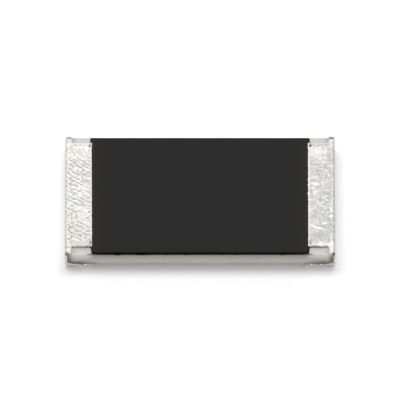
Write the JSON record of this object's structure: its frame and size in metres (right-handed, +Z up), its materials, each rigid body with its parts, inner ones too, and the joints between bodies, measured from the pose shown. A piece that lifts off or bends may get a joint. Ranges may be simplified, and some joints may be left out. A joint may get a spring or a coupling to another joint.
{
  "type": "chip resistor",
  "caption": "Flat rectangular thick-film chip resistor: black overcoat on a white ceramic plate with rippled tin terminals wrapped around the ends.",
  "frame": {"origin": "middle of the solder plane, under the centre of the chip", "axes": "+X from the left terminal to the right terminal, +Y across the chip towards its back, +Z up from the solder plane"},
  "size_m": [0.0064, 0.0032, 0.0006],
  "materials": {
    "alumina": "matte fired",
    "silver_print": "sintered",
    "silver_paste": "cured paste",
    "resistive_ink": "satin",
    "coat_glass": "gloss",
    "black_epoxy": "matte",
    "nickel": "satin",
    "tin": "rippled matte"
  },
  "bodies": {
    "root": {"ceramic_substrate": "alumina", "top_electrode_left": "silver_print", "top_electrode_right": "silver_print", "bottom_electrode_left": "silver_print", "bottom_electrode_right": "silver_print", "resistive_film": "resistive_ink", "glass_coat": "coat_glass", "epoxy_overcoat": "black_epoxy", "edge_electrode_left": "silver_paste", "edge_electrode_right": "silver_paste", "nickel_barrier_left": "nickel", "nickel_barrier_right": "nickel", "tin_plating_left": "tin", "tin_plating_right": "tin"}
  },
  "joints": []
}
